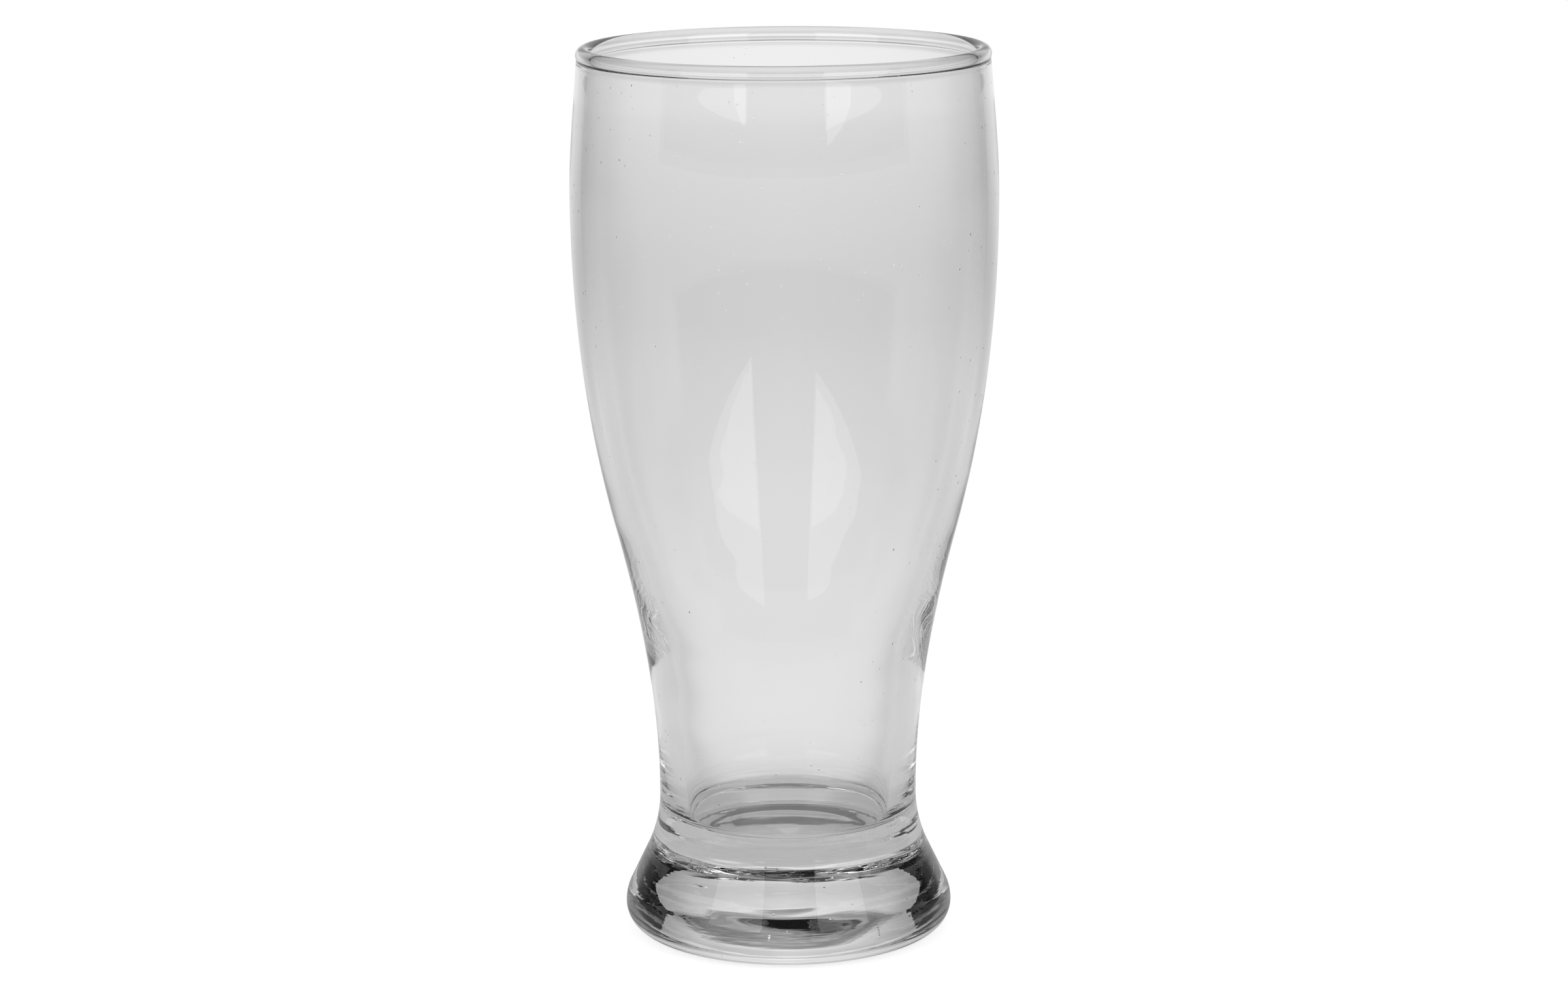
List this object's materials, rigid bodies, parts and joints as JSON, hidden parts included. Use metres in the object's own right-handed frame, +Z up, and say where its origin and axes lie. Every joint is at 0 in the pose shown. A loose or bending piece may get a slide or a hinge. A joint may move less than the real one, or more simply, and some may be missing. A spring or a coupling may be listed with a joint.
{
  "type": "footed beer glass",
  "caption": "Tall clear beer glass: a bowl that swells over a narrow waist, a thick solid base, a flared round foot and a fire-polished rim, for drinking wheat beer.",
  "frame": {"origin": "middle of the standing face, on the axis of the glass, at table height", "axes": "+Z up along the axis of the glass; the glass is round, so +X and +Y are free"},
  "size_m": [0.0852, 0.0852, 0.18],
  "materials": {
    "pressed_glass": "clear soda-lime glass pressed in a mould, smooth, with faint chill ripples",
    "blown_glass": "clear soda-lime glass blown in a mould, smooth, with a few tiny seeds",
    "fire_polished_glass": "clear soda-lime glass melted round by the burner, glossy"
  },
  "bodies": {
    "root": {"standing_ring": "pressed_glass", "foot": "pressed_glass", "heavy_base": "pressed_glass", "bowl": "blown_glass", "rim_bead": "fire_polished_glass"}
  },
  "joints": []
}
